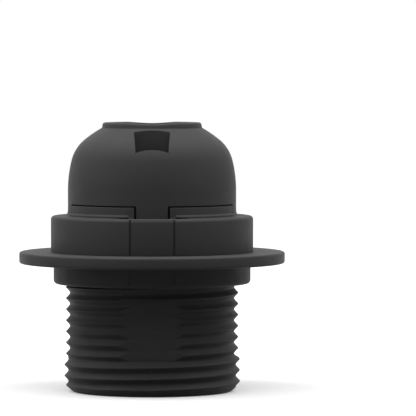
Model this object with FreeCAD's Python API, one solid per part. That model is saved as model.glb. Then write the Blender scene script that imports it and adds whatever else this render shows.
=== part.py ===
"""Screw-thread pendant lamp holder with a clip-on domed cap and a shade ring.

Millimetres, +Z up. The origin is on the axis at the open rim that the lamp enters.
The front, with the latch and the pocket for the cable grip, looks towards -Y.
"""
import FreeCAD, Part
import math
import os

Vector = FreeCAD.Vector
ORIGIN = Vector(0, 0, 0)
UP = Vector(0, 0, 1)

# Shared clearances
SEAT_GAP = 0.3
RUNNING_FIT = 0.05
OVERLAP = 0.2

# Lamp thread sleeve inside the barrel
SLEEVE_BORE_RADIUS = 12.2
SLEEVE_WALL = 2.4
SLEEVE_LOW = 6.0
SLEEVE_BORE_LENGTH = 16.0
SLEEVE_HIGH = 26.5
LAMP_THREAD_DEPTH = 1.05
LAMP_THREAD_PITCH = 3.63
LAMP_GROOVE_INSET = 1.3
LAMP_GROOVE_MOUTH = 2.3
LAMP_GROOVE_BOTTOM = 1.0
WEB_THICKNESS = 2.0

# Threaded barrel of the skirt
SLEEVE_GAP = 2.1
BARREL_WALL = 1.9
BARREL_HEIGHT = 31.5
RIM_INSET = 0.6
THREAD_DEPTH = 0.9
LEAD_STEP = 0.35
THREAD_PITCH = 2.5
THREAD_RUNOUT = 2.0
LEAD_TURNS = 3
FIRST_CREST_HEIGHT = 1.7
CREST_WIDTH = 0.6
RIDGE_WIDTH = 1.9
FLAT_INSET = 0.6
FLAT_LOW = 7.9
FLAT_HIGH = 21.9

# Neck and collar of the skirt
NECK_STEP = 0.4
NECK_WALL = 1.9
PANEL_HEIGHT = 2.5
COLLAR_CAVITY = 2.05
COLLAR_WALL = 1.8
COLLAR_HEIGHT = 8.1
COLLAR_EDGE_ROUND = 0.7
STIFFENER_COUNT = 6
STIFFENER_THICKNESS = 1.2
STIFFENER_DROP = 4.5
GROOVE_OFFSET = 4.9
GROOVE_WIDTH = 0.5
GROOVE_DEPTH = 0.5
LATCH_PANEL_RECESS = 0.2
LIP_DEPTH = 0.4
LIP_HEIGHT = 0.45
LIP_BEVEL = 0.35
LIP_BAR_WIDTH = 1.3
LIP_SLIT_LENGTH = 3.1
LIP_SLIT_HEIGHT = 0.35
LIP_SLIT_DEPTH = 1.4

# Shade ring
RING_HUB_WALL = 2.1
RING_HUB_HEIGHT = 4.6
RING_HUB_ROUND = 0.8
FLANGE_WIDTH = 7.75
FLANGE_THICKNESS = 2.6
FLANGE_EDGE_ROUND = 0.5
RING_GROOVE_DEPTH = 0.35

# Domed cap
CAP_WALL = 1.8
CAP_STRAIGHT = 3.0
SHOULDER_RADIUS = 27.8
SHOULDER_ANGLE = 14.0
HAUNCH_RADIUS = 8.7
HAUNCH_ANGLE = 50.3
TOP_ARC_RADIUS = 26.5
TOP_RIM_RADIUS = 11.1
TOP_RIM_HEIGHT = 1.1
TOP_RIM_ROUND = 0.9
TOP_RIM_WIDTH = 2.5
TOP_RECESS_DEPTH = 0.8
SADDLE_WIDTH = 12.0
SADDLE_DEPTH = 0.4
ENTRY_BORE_RADIUS = 4.5
ENTRY_WALL = 2.5
ENTRY_LENGTH = 10.0
LEG_SPREAD = 36.0
LEG_FLARE = 0.35
LEG_FLARE_HEIGHT = 1.0
TONGUE_WIDTH = 7.1
TONGUE_SIDE_GAP = 0.4
TONGUE_REACH = 4.2
BARB_DEPTH = 1.1
BARB_HEIGHT = 1.9
BARB_WIDTH = 6.0
BACKING_THICKNESS = 1.0
BACKING_MARGIN = 1.0
BACKING_ROOT = 2.0

# Pocket in the dome for the tab of a cable grip
POCKET_TOP_MARGIN = 0.9
POCKET_EDGE_MARGIN = 2.0
POCKET_INNER_WIDTH = 8.1
POCKET_OUTER_WIDTH = 7.3
POCKET_WALL = 1.2
POCKET_DEPTH = 9.2

# Contact block and its fixing screws
BLOCK_CLEARANCE = 0.2
BLOCK_BASE = 4.0
BARRIER_THICKNESS = 1.8
BARRIER_LENGTH = 26.0
BARRIER_HEIGHT = 10.5
SEAT_WALL = 1.2
SEAT_WALL_HEIGHT = 2.4
RELIEF_DEPTH = 1.2
RELIEF_LEDGE = 1.0
FIXING_SHANK_RADIUS = 0.9
FIXING_SHANK_LENGTH = 12.0
FIXING_HEAD_RADIUS = 1.7
FIXING_HEAD_HEIGHT = 1.5
FIXING_BOSS_WALL = 1.4
SLOT_WIDTH = 0.6
SLOT_DEPTH = 0.7

# Terminals and their screws
TERMINAL_OFFSET = 8.5
TERMINAL_LENGTH = 7.0
TERMINAL_WIDTH = 8.0
TERMINAL_HEIGHT = 7.5
WIRE_HOLE_RADIUS = 1.4
WIRE_HOLE_HEIGHT = 4.6
SCREW_RADIUS = 1.7
SCREW_LENGTH = 3.0
SCREW_STAND = 1.0
SCREW_HEAD_RADIUS = 2.8
SCREW_HEAD_HEIGHT = 1.8

# Rivets and sprung contacts
RIVET_RADIUS = 1.2
RIVET_HEAD_RADIUS = 2.0
RIVET_HEAD_HEIGHT = 0.6
RIVET_ENTRY = 1.2
CONTACT_THICKNESS = 0.5
CONTACT_WIDTH = 6.0
CONTACT_HOLE_GAP = 0.4
CONTACT_BEND = 0.9
FOOT_OVERHANG = 2.5
CENTRE_BEND_OFFSET = 3.3
CENTRE_NOSE_DROP = 2.6
CENTRE_NOSE_RISE = 1.3
CENTRE_NOSE_REACH = 2.8
SIDE_FOOT_OVERHANG = 1.7
SIDE_LEG_INSET = 1.4
SIDE_LEG_LENGTH = 6.2
SIDE_NOSE_REACH = 0.9
SIDE_NOSE_LENGTH = 1.4
SIDE_WINDOW_GAP = 0.6

# Radii worked out from the sizes above, from the lamp thread outwards
LAMP_GROOVE_RADIUS = SLEEVE_BORE_RADIUS + LAMP_THREAD_DEPTH
SLEEVE_RADIUS = SLEEVE_BORE_RADIUS + SLEEVE_WALL
BARREL_BORE_RADIUS = SLEEVE_RADIUS + SLEEVE_GAP
THREAD_ROOT_RADIUS = BARREL_BORE_RADIUS + BARREL_WALL
THREAD_CREST_RADIUS = THREAD_ROOT_RADIUS + THREAD_DEPTH
LEAD_ROOT_RADIUS = THREAD_ROOT_RADIUS + LEAD_STEP
LEAD_CREST_RADIUS = LEAD_ROOT_RADIUS + THREAD_DEPTH
RIM_RADIUS = THREAD_ROOT_RADIUS - RIM_INSET
FLAT_DISTANCE = THREAD_ROOT_RADIUS - FLAT_INSET
NECK_BORE_RADIUS = BARREL_BORE_RADIUS + NECK_STEP
NECK_RADIUS = NECK_BORE_RADIUS + NECK_WALL
LIP_RADIUS = NECK_RADIUS + LIP_DEPTH
COLLAR_RADIUS = NECK_RADIUS + COLLAR_CAVITY + COLLAR_WALL
RING_BORE_RADIUS = max(THREAD_CREST_RADIUS, LEAD_CREST_RADIUS) + SEAT_GAP
RING_HUB_RADIUS = RING_BORE_RADIUS + RING_HUB_WALL
RING_RADIUS = RING_HUB_RADIUS + FLANGE_WIDTH
CAP_RADIUS = NECK_RADIUS
CAP_BORE_RADIUS = CAP_RADIUS - CAP_WALL
TOP_RECESS_RADIUS = TOP_RIM_RADIUS - TOP_RIM_WIDTH
POCKET_INNER = TOP_RIM_RADIUS + POCKET_TOP_MARGIN
POCKET_OUTER = CAP_RADIUS - POCKET_EDGE_MARGIN
BLOCK_RADIUS = BARREL_BORE_RADIUS - BLOCK_CLEARANCE
FIXING_OFFSET = BLOCK_RADIUS - FIXING_HEAD_RADIUS
CENTRE_FOOT_END = TERMINAL_OFFSET + FOOT_OVERHANG
CENTRE_BEND = TERMINAL_OFFSET - CENTRE_BEND_OFFSET
SIDE_FOOT_END = TERMINAL_OFFSET - SIDE_FOOT_OVERHANG
SIDE_LEG_RADIUS = SLEEVE_BORE_RADIUS + SIDE_LEG_INSET
BEYOND = 2 * RING_RADIUS

# Heights worked out from the sizes above, from the lamp rim upwards
LAMP_GROOVE_LOW = SLEEVE_LOW + LAMP_GROOVE_INSET
LAMP_THREAD_SPAN = SLEEVE_BORE_LENGTH - LAMP_GROOVE_INSET - LAMP_GROOVE_MOUTH
LAMP_THREAD_TURNS = 1 + int(LAMP_THREAD_SPAN / LAMP_THREAD_PITCH)
THREAD_TURNS = 1 + int((BARREL_HEIGHT - FIRST_CREST_HEIGHT - THREAD_RUNOUT) / THREAD_PITCH)
FOOT_TOP = SLEEVE_HIGH - SEAT_GAP
FOOT_LOW = FOOT_TOP - CONTACT_THICKNESS
BLOCK_TOP = SLEEVE_HIGH + BLOCK_BASE
TERMINAL_TOP = BLOCK_TOP + TERMINAL_HEIGHT
WIRE_HOLE_CENTRE = BLOCK_TOP + WIRE_HOLE_HEIGHT
RING_LOW = BARREL_HEIGHT - FLANGE_THICKNESS - RING_HUB_HEIGHT
COLLAR_HIGH = BARREL_HEIGHT + COLLAR_HEIGHT
COLLAR_ROOF = COLLAR_HIGH - COLLAR_WALL
TONGUE_LOW = COLLAR_HIGH - TONGUE_REACH
PANEL_HIGH = COLLAR_HIGH + PANEL_HEIGHT
CAP_LOW = PANEL_HIGH + SEAT_GAP
DOME_START = CAP_LOW + CAP_STRAIGHT


# ---- plain shapes -------------------------------------------------------------------

def disc(radius, low, high, centre=(0, 0)):
    """Upright cylinder between two heights."""
    return Part.makeCylinder(radius, high - low, Vector(centre[0], centre[1], low))


def tube(inner, outer, low, high):
    """Upright tube about the axis."""
    return disc(outer, low, high).cut(disc(inner, low - OVERLAP, high + OVERLAP))


def brick(x_span, y_span, z_span):
    """Box from its spans along the three axes."""
    corner = Vector(x_span[0], y_span[0], z_span[0])
    return Part.makeBox(
        x_span[1] - x_span[0], y_span[1] - y_span[0], z_span[1] - z_span[0], corner
    )


def half_turned(shape):
    """Copy of a shape, turned half way round the axis."""
    copy = shape.copy()
    copy.rotate(ORIGIN, UP, 180)
    return copy


def front_and_back(shape):
    """The shape at the front and its copy at the back."""
    return [shape, half_turned(shape)]


def corner_arcs(corners):
    """Start, middle and end of the arc at each (x, z, rounding) corner of a closed outline."""
    points = [Vector(x, 0, z) for x, z, _ in corners]
    count = len(points)
    arcs = []
    for index, corner in enumerate(points):
        rounding = corners[index][2]
        if rounding <= 0:
            arcs.append([corner])
            continue
        back = (points[index - 1] - corner).normalize()
        ahead = (points[(index + 1) % count] - corner).normalize()
        half = math.acos(max(-1.0, min(1.0, back.dot(ahead)))) / 2
        trim = rounding / math.tan(half)
        inward = (back + ahead).normalize()
        middle = corner + inward * (rounding / math.sin(half) - rounding)
        arcs.append([corner + back * trim, middle, corner + ahead * trim])
    return arcs


def rounded_outline(corners):
    """Closed wire in the XZ plane through (x, z, rounding) corners."""
    arcs = corner_arcs(corners)
    edges = []
    for index, arc in enumerate(arcs):
        if len(arc) > 1:
            edges.append(Part.Arc(*arc).toShape())
        following = arcs[(index + 1) % len(arcs)][0]
        if arc[-1].distanceToPoint(following) > 1e-6:
            edges.append(Part.LineSegment(arc[-1], following).toShape())
    return Part.Wire(edges)


def turned(corners, angle=360, start=0):
    """Solid of revolution from (radius, height, rounding) corners, with roundings as two bevels."""
    points = [point for arc in corner_arcs(corners) for point in arc]
    solid = Part.Face(Part.makePolygon(points + points[:1])).revolve(ORIGIN, UP, angle)
    solid.rotate(ORIGIN, UP, start)
    return solid


def bent_strip(path, thickness, width):
    """Strip of constant thickness that follows (x, z, bend) points in the XZ plane."""
    points = [Vector(x, 0, z) for x, z, _ in path]
    left = []
    right = []
    for index, point in enumerate(points):
        before = points[max(index - 1, 0)]
        after = points[min(index + 1, len(points) - 1)]
        arriving = (point - before) if index > 0 else (after - point)
        leaving = (after - point) if index < len(points) - 1 else arriving
        arriving = Vector(arriving).normalize()
        leaving = Vector(leaving).normalize()
        normal_in = Vector(-arriving.z, 0, arriving.x)
        normal_out = Vector(-leaving.z, 0, leaving.x)
        miter = (normal_in + normal_out).normalize()
        reach = thickness / 2 / miter.dot(normal_in)
        turn = arriving.x * leaving.z - arriving.z * leaving.x
        bend = path[index][2]
        inner_bend = max(bend - thickness / 2, 0) if bend else 0
        outer_bend = bend + thickness / 2 if bend else 0
        left_bend, right_bend = (inner_bend, outer_bend) if turn > 0 else (outer_bend, inner_bend)
        left_point = point + miter * reach
        right_point = point - miter * reach
        left.append((left_point.x, left_point.z, left_bend))
        right.append((right_point.x, right_point.z, right_bend))
    face = Part.Face(rounded_outline(left + right[::-1]))
    face.translate(Vector(0, -width / 2, 0))
    return face.extrude(Vector(0, width, 0))


# ---- threaded skirt -----------------------------------------------------------------

def barrel_thread_corners():
    """Ridges of the outer thread, from the lead-in turns at the rim upwards."""
    corners = []
    for turn in range(THREAD_TURNS):
        height = FIRST_CREST_HEIGHT + turn * THREAD_PITCH
        crest = LEAD_CREST_RADIUS if turn < LEAD_TURNS else THREAD_CREST_RADIUS
        root_below = LEAD_ROOT_RADIUS if turn < LEAD_TURNS else THREAD_ROOT_RADIUS
        root_above = LEAD_ROOT_RADIUS if turn + 1 < LEAD_TURNS else THREAD_ROOT_RADIUS
        if turn > 0:
            corners.append((root_below, height - RIDGE_WIDTH / 2, 0))
        corners.append((crest, height - CREST_WIDTH / 2, 0))
        corners.append((crest, height + CREST_WIDTH / 2, 0))
        corners.append((root_above, height + RIDGE_WIDTH / 2, 0))
    return corners


def lamp_thread_corners():
    """Rounded lamp thread as grooves in the sleeve, from the top downwards."""
    corners = []
    for turn in reversed(range(LAMP_THREAD_TURNS)):
        height = LAMP_GROOVE_LOW + LAMP_GROOVE_MOUTH / 2 + turn * LAMP_THREAD_PITCH
        corners.append((SLEEVE_BORE_RADIUS, height + LAMP_GROOVE_MOUTH / 2, 0))
        corners.append((LAMP_GROOVE_RADIUS, height + LAMP_GROOVE_BOTTOM / 2, 0))
        corners.append((LAMP_GROOVE_RADIUS, height - LAMP_GROOVE_BOTTOM / 2, 0))
        corners.append((SLEEVE_BORE_RADIUS, height - LAMP_GROOVE_MOUTH / 2, 0))
    return corners


def skirt_body():
    """Barrel, lamp sleeve, web, collar and neck as one turned section."""
    web_low = SLEEVE_HIGH - WEB_THICKNESS
    bore_high = SLEEVE_LOW + SLEEVE_BORE_LENGTH
    corners = [(BARREL_BORE_RADIUS, 0, 0), (RIM_RADIUS, 0, 0)]
    corners += barrel_thread_corners()
    corners += [
        (THREAD_ROOT_RADIUS, BARREL_HEIGHT, 0),
        (NECK_RADIUS, BARREL_HEIGHT, 0),
        (NECK_RADIUS, COLLAR_ROOF, 0),
        (COLLAR_RADIUS - COLLAR_WALL, COLLAR_ROOF, 0),
        (COLLAR_RADIUS - COLLAR_WALL, BARREL_HEIGHT, 0),
        (COLLAR_RADIUS, BARREL_HEIGHT, 0),
        (COLLAR_RADIUS, COLLAR_HIGH, COLLAR_EDGE_ROUND),
        (NECK_RADIUS, COLLAR_HIGH, 0),
        (NECK_RADIUS, PANEL_HIGH, 0),
        (NECK_BORE_RADIUS, PANEL_HIGH, 0),
        (NECK_BORE_RADIUS, BARREL_HEIGHT, 0),
        (BARREL_BORE_RADIUS, BARREL_HEIGHT, 0),
        (BARREL_BORE_RADIUS, SLEEVE_HIGH, 0),
        (LAMP_GROOVE_RADIUS, SLEEVE_HIGH, 0),
        (LAMP_GROOVE_RADIUS, bore_high, 0),
        (SLEEVE_BORE_RADIUS, bore_high, 0),
    ]
    corners += lamp_thread_corners()
    corners += [
        (SLEEVE_BORE_RADIUS, SLEEVE_LOW, 0),
        (SLEEVE_RADIUS, SLEEVE_LOW, 0),
        (SLEEVE_RADIUS, web_low, 0),
        (BARREL_BORE_RADIUS, web_low, 0),
    ]
    return turned(corners)


def collar_stiffeners():
    """Ribs that tie the collar's outer wall to the neck."""
    ribs = []
    x_span = (NECK_RADIUS - OVERLAP, COLLAR_RADIUS - COLLAR_WALL + OVERLAP)
    y_span = (-STIFFENER_THICKNESS / 2, STIFFENER_THICKNESS / 2)
    z_span = (COLLAR_ROOF - STIFFENER_DROP, COLLAR_ROOF + OVERLAP)
    for number in range(STIFFENER_COUNT):
        rib = brick(x_span, y_span, z_span)
        rib.rotate(ORIGIN, UP, 360 / STIFFENER_COUNT * number)
        ribs.append(rib)
    return ribs


def fixing_boss():
    """Pillar between sleeve and barrel that takes a fixing screw, at the front."""
    low = SLEEVE_HIGH - FIXING_SHANK_LENGTH
    pillar = disc(FIXING_SHANK_RADIUS + FIXING_BOSS_WALL, low, SLEEVE_HIGH, (0, -FIXING_OFFSET))
    inside = LAMP_GROOVE_RADIUS + OVERLAP
    return pillar.common(tube(inside, BARREL_BORE_RADIUS + OVERLAP, low, SLEEVE_HIGH))


def fixing_hole():
    """Pilot hole for a fixing screw, at the front."""
    low = BLOCK_TOP - FIXING_SHANK_LENGTH - SEAT_GAP
    radius = FIXING_SHANK_RADIUS + RUNNING_FIT
    return disc(radius, low, SLEEVE_HIGH + OVERLAP, (0, -FIXING_OFFSET))


def barrel_flat():
    """Flat that interrupts the thread at the front."""
    return brick((-BEYOND, BEYOND), (-BEYOND, -FLAT_DISTANCE), (FLAT_LOW, FLAT_HIGH))


def slot_half_width():
    """Half the width of the slot that a latch tongue works in."""
    return TONGUE_WIDTH / 2 + TONGUE_SIDE_GAP


def latch_slot():
    """Slot in the neck for the cap's latch tongue, at the front."""
    x_span = (-slot_half_width(), slot_half_width())
    below = brick(
        x_span,
        (-NECK_RADIUS - OVERLAP / 2, -NECK_BORE_RADIUS + NECK_WALL),
        (TONGUE_LOW - SEAT_GAP, PANEL_HIGH + OVERLAP),
    )
    above = brick(x_span, (-BEYOND, -NECK_BORE_RADIUS + NECK_WALL), (COLLAR_HIGH, PANEL_HIGH + OVERLAP))
    return below.fuse(above)


def neck_lip():
    """Low bevelled lip round the neck's foot."""
    corners = [
        (NECK_RADIUS - OVERLAP, COLLAR_HIGH - OVERLAP, 0),
        (LIP_RADIUS, COLLAR_HIGH - OVERLAP, 0),
        (LIP_RADIUS, COLLAR_HIGH + LIP_HEIGHT, 0),
        (NECK_RADIUS, COLLAR_HIGH + LIP_HEIGHT + LIP_BEVEL, 0),
        (NECK_RADIUS - OVERLAP, COLLAR_HIGH + LIP_HEIGHT + LIP_BEVEL, 0),
    ]
    return turned(corners)


def slot_bars():
    """Upright bars on the neck beside a latch slot, at the front."""
    skin = tube(NECK_RADIUS - OVERLAP, LIP_RADIUS, COLLAR_HIGH - OVERLAP, PANEL_HIGH)
    reach = slot_half_width() + LIP_BAR_WIDTH
    return skin.common(brick((-reach, reach), (-BEYOND, 0), (COLLAR_HIGH - OVERLAP, PANEL_HIGH)))


def lip_slits():
    """Tapering slits under the lip on both sides of a latch slot, at the front."""
    start = slot_half_width() + LIP_BAR_WIDTH
    slits = []
    for side in (-1, 1):
        points = [
            Vector(side * start, -BEYOND, COLLAR_HIGH),
            Vector(side * start, -BEYOND, COLLAR_HIGH + LIP_SLIT_HEIGHT),
            Vector(side * (start + LIP_SLIT_LENGTH), -BEYOND, COLLAR_HIGH),
        ]
        face = Part.Face(Part.makePolygon(points + points[:1]))
        slits.append(face.extrude(Vector(0, BEYOND - NECK_RADIUS + LIP_SLIT_DEPTH, 0)))
    return slits


def leg_notch():
    """Notch in the neck for one of the cap's legs, at +X."""
    margin = math.degrees(SEAT_GAP / NECK_RADIUS)
    spread = LEG_SPREAD + 2 * margin
    corners = [
        (NECK_BORE_RADIUS - OVERLAP, COLLAR_HIGH, 0),
        (LIP_RADIUS + OVERLAP, COLLAR_HIGH, 0),
        (LIP_RADIUS + OVERLAP, PANEL_HIGH + OVERLAP, 0),
        (NECK_BORE_RADIUS - OVERLAP, PANEL_HIGH + OVERLAP, 0),
    ]
    return turned(corners, spread, -spread / 2)


def panel_grooves(outer_radius, depth, low, high):
    """Two upright grooves that frame a panel on a round wall, at the front."""
    wall_y = math.sqrt(outer_radius ** 2 - GROOVE_OFFSET ** 2)
    grooves = []
    for side in (-1, 1):
        middle = side * GROOVE_OFFSET
        x_span = (middle - GROOVE_WIDTH / 2, middle + GROOVE_WIDTH / 2)
        grooves.append(brick(x_span, (-BEYOND, depth - wall_y), (low, high)))
    return grooves


def latch_panel_recess():
    """Thin skin taken off the panel between the collar's grooves."""
    low = BARREL_HEIGHT - OVERLAP
    high = COLLAR_HIGH + OVERLAP
    skin = tube(COLLAR_RADIUS - LATCH_PANEL_RECESS, COLLAR_RADIUS + OVERLAP, low, high)
    return skin.common(brick((-GROOVE_OFFSET, GROOVE_OFFSET), (-BEYOND, 0), (low, high)))


def side_contact_window():
    """Opening in the sleeve that the side contact works in."""
    half_width = CONTACT_WIDTH / 2 + SIDE_WINDOW_GAP
    outer = SIDE_LEG_RADIUS + CONTACT_THICKNESS / 2 + 2 * SIDE_WINDOW_GAP
    low = FOOT_LOW - SIDE_LEG_LENGTH - SIDE_NOSE_LENGTH - 3 * SIDE_WINDOW_GAP
    x_span = (-outer, -SLEEVE_BORE_RADIUS + 2 * SIDE_WINDOW_GAP)
    return brick(x_span, (-half_width, half_width), (low, SLEEVE_HIGH + OVERLAP))


def threaded_skirt():
    additions = collar_stiffeners() + front_and_back(fixing_boss())
    additions += [neck_lip()] + front_and_back(slot_bars())
    solid = skirt_body().fuse(additions)
    tools = []
    tools += front_and_back(fixing_hole())
    tools += front_and_back(barrel_flat())
    tools += front_and_back(latch_slot())
    tools += front_and_back(leg_notch())
    for slit in lip_slits():
        tools += front_and_back(slit)
    for groove in panel_grooves(COLLAR_RADIUS, GROOVE_DEPTH, BARREL_HEIGHT - OVERLAP, COLLAR_HIGH + OVERLAP):
        tools += front_and_back(groove)
    tools += front_and_back(latch_panel_recess())
    tools.append(side_contact_window())
    return solid.cut(tools).removeSplitter()


# ---- shade ring ---------------------------------------------------------------------

def shade_ring():
    flange_low = BARREL_HEIGHT - FLANGE_THICKNESS
    corners = [
        (RING_BORE_RADIUS, RING_LOW, 0),
        (RING_HUB_RADIUS, RING_LOW, RING_HUB_ROUND),
        (RING_HUB_RADIUS, flange_low, 0),
        (RING_RADIUS, flange_low, FLANGE_EDGE_ROUND),
        (RING_RADIUS, BARREL_HEIGHT, FLANGE_EDGE_ROUND),
        (RING_BORE_RADIUS, BARREL_HEIGHT, 0),
    ]
    tools = []
    for groove in panel_grooves(RING_HUB_RADIUS, RING_GROOVE_DEPTH, RING_LOW - OVERLAP, flange_low):
        tools += front_and_back(groove)
    return turned(corners).cut(tools).removeSplitter()


# ---- domed cap ----------------------------------------------------------------------

def dome_arcs(inset):
    """The dome's three tangent arcs as edges, inset from the outside, and their end."""
    first = math.radians(SHOULDER_ANGLE)
    second = math.radians(HAUNCH_ANGLE)
    centre_x = CAP_RADIUS - SHOULDER_RADIUS
    centre_z = DOME_START
    bands = [(SHOULDER_RADIUS, 0, first), (HAUNCH_RADIUS, first, second)]
    top_arc_x = centre_x + (SHOULDER_RADIUS - HAUNCH_RADIUS) * math.cos(first)
    top_arc_x += (HAUNCH_RADIUS - TOP_ARC_RADIUS) * math.cos(second)
    last = math.acos((TOP_RIM_RADIUS - top_arc_x) / TOP_ARC_RADIUS)
    bands.append((TOP_ARC_RADIUS, second, last))
    edges = []
    for index, (radius, begin, finish) in enumerate(bands):
        if index > 0:
            step = bands[index - 1][0] - radius
            centre_x += step * math.cos(begin)
            centre_z += step * math.sin(begin)
        points = []
        for angle in (begin, (begin + finish) / 2, finish):
            reach = radius - inset
            points.append(Vector(centre_x + reach * math.cos(angle), 0, centre_z + reach * math.sin(angle)))
        edges.append(Part.Arc(*points).toShape())
    return edges, points[-1]


def chain(points):
    """Straight edges through a row of points."""
    return [Part.LineSegment(a, b).toShape() for a, b in zip(points, points[1:])]


def dome_foot():
    """Height at which the dome meets its top rim."""
    return dome_arcs(0)[1].z


def cap_top():
    return dome_foot() + TOP_RIM_HEIGHT


def dome_mass(low):
    """The dome's outer form as a solid, with its top rim and recess."""
    arcs, foot = dome_arcs(0)
    top = foot.z + TOP_RIM_HEIGHT
    corner = TOP_RIM_ROUND * (1 - math.sqrt(0.5))
    rim_start = Vector(foot.x, 0, top - TOP_RIM_ROUND)
    rim_middle = Vector(foot.x - corner, 0, top - corner)
    rim_end = Vector(foot.x - TOP_RIM_ROUND, 0, top)
    floor = top - TOP_RECESS_DEPTH
    edges = chain([Vector(0, 0, low), Vector(CAP_RADIUS, 0, low), Vector(CAP_RADIUS, 0, DOME_START)])
    edges += arcs
    edges += chain([
        foot,
        rim_start,
        rim_middle,
        rim_end,
        Vector(TOP_RECESS_RADIUS, 0, top),
        Vector(TOP_RECESS_RADIUS, 0, floor),
        Vector(0, 0, floor),
        Vector(0, 0, low),
    ])
    return Part.Face(Part.Wire(edges)).revolve(ORIGIN, UP, 360)


def dome_hollow(low):
    """The space inside the dome as a solid."""
    arcs, end = dome_arcs(CAP_WALL)
    edges = chain([Vector(0, 0, low), Vector(CAP_BORE_RADIUS, 0, low), Vector(CAP_BORE_RADIUS, 0, DOME_START)])
    edges += arcs
    edges += chain([end, Vector(0, 0, end.z), Vector(0, 0, low)])
    return Part.Face(Part.Wire(edges)).revolve(ORIGIN, UP, 360)


def pocket_prism(margin, low, high):
    """Upright prism of the cable-grip pocket, grown by a margin."""
    inner = POCKET_INNER - margin
    outer = POCKET_OUTER + margin
    inner_half = POCKET_INNER_WIDTH / 2 + margin
    outer_half = POCKET_OUTER_WIDTH / 2 + margin
    corners = [(-inner_half, -inner), (inner_half, -inner), (outer_half, -outer), (-outer_half, -outer)]
    points = [Vector(x, y, low) for x, y in corners]
    face = Part.Face(Part.makePolygon(points + points[:1]))
    return face.extrude(Vector(0, 0, high - low))


def cap_leg():
    """Leg that carries the cap on the collar, at +X, flared at its foot."""
    corners = [
        (CAP_BORE_RADIUS, COLLAR_HIGH, 0),
        (CAP_RADIUS + LEG_FLARE, COLLAR_HIGH, 0),
        (CAP_RADIUS, COLLAR_HIGH + LEG_FLARE_HEIGHT, 0),
        (CAP_RADIUS, CAP_LOW + OVERLAP, 0),
        (CAP_BORE_RADIUS, CAP_LOW + OVERLAP, 0),
    ]
    return turned(corners, LEG_SPREAD, -LEG_SPREAD / 2)


def latch_tongue():
    """Springy tongue with its barb, at the front."""
    half_width = TONGUE_WIDTH / 2
    wall = tube(CAP_BORE_RADIUS, CAP_RADIUS, TONGUE_LOW, CAP_LOW + OVERLAP)
    blade = wall.common(brick((-half_width, half_width), (-BEYOND, 0), (TONGUE_LOW, CAP_LOW + OVERLAP)))
    inner = -CAP_RADIUS + CAP_WALL / 2
    tip = -CAP_RADIUS - BARB_DEPTH
    high = COLLAR_ROOF - SEAT_GAP
    outline = [
        Vector(-BARB_WIDTH / 2, inner, high),
        Vector(-BARB_WIDTH / 2, tip, high),
        Vector(-BARB_WIDTH / 2, inner, high - BARB_HEIGHT),
    ]
    barb = Part.Face(Part.makePolygon(outline + outline[:1])).extrude(Vector(BARB_WIDTH, 0, 0))
    return blade.fuse(barb)


def tongue_backing():
    """Flap inside the cap that closes the view through the gaps beside a tongue, at the front."""
    half_width = slot_half_width() + BACKING_MARGIN
    outer = SEAT_GAP - math.sqrt(NECK_BORE_RADIUS ** 2 - half_width ** 2)
    x_span = (-half_width, half_width)
    high = CAP_LOW + BACKING_ROOT
    flap = brick(x_span, (outer, outer + BACKING_THICKNESS), (COLLAR_HIGH + SEAT_GAP, high))
    root = brick(x_span, (-CAP_BORE_RADIUS - OVERLAP, outer + BACKING_THICKNESS), (CAP_LOW, high))
    return flap.fuse(root)


def saddle():
    """Shallow dip across the top rim, from front to back."""
    radius = ((SADDLE_WIDTH / 2) ** 2 + SADDLE_DEPTH ** 2) / (2 * SADDLE_DEPTH)
    start = Vector(0, -BEYOND, cap_top() - SADDLE_DEPTH + radius)
    return Part.makeCylinder(radius, 2 * BEYOND, start, Vector(0, 1, 0))


def dome_cap():
    mass = dome_mass(CAP_LOW)
    floor = cap_top() - TOP_RECESS_DEPTH
    shell = mass.cut(dome_hollow(CAP_LOW - OVERLAP))
    entry_tube = disc(ENTRY_BORE_RADIUS + ENTRY_WALL, floor - ENTRY_LENGTH, floor)
    pocket_floor = cap_top() - POCKET_DEPTH
    pocket_shell = pocket_prism(POCKET_WALL, pocket_floor - POCKET_WALL, cap_top()).common(mass)
    additions = [entry_tube, pocket_shell]
    additions += front_and_back(cap_leg()) + front_and_back(latch_tongue())
    additions += front_and_back(tongue_backing())
    tools = [pocket_prism(0, pocket_floor, cap_top() + OVERLAP)]
    tools.append(disc(ENTRY_BORE_RADIUS, floor - ENTRY_LENGTH - OVERLAP, floor + OVERLAP))
    tools.append(saddle())
    return shell.fuse(additions).cut(tools).removeSplitter()


# ---- contact block and its fixings --------------------------------------------------

def terminal_box(gap, low, high):
    """Space of one terminal, at +X, grown sideways by a gap."""
    half_length = TERMINAL_LENGTH / 2 + gap
    half_width = TERMINAL_WIDTH / 2 + gap
    x_span = (TERMINAL_OFFSET - half_length, TERMINAL_OFFSET + half_length)
    return brick(x_span, (-half_width, half_width), (low, high))


def terminal_seat():
    """Low wall that locates one terminal, at +X."""
    high = BLOCK_TOP + SEAT_WALL_HEIGHT
    outside = terminal_box(RUNNING_FIT + SEAT_WALL, BLOCK_TOP - OVERLAP, high)
    return outside.cut(terminal_box(RUNNING_FIT, BLOCK_TOP, high + OVERLAP))


def contact_relief(x_span):
    """Pocket in the block's underside that a contact bends into."""
    half_width = CONTACT_WIDTH / 2 + SEAT_GAP
    z_span = (SLEEVE_HIGH - OVERLAP, SLEEVE_HIGH + RELIEF_DEPTH)
    return brick(x_span, (-half_width, half_width), z_span)


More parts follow.
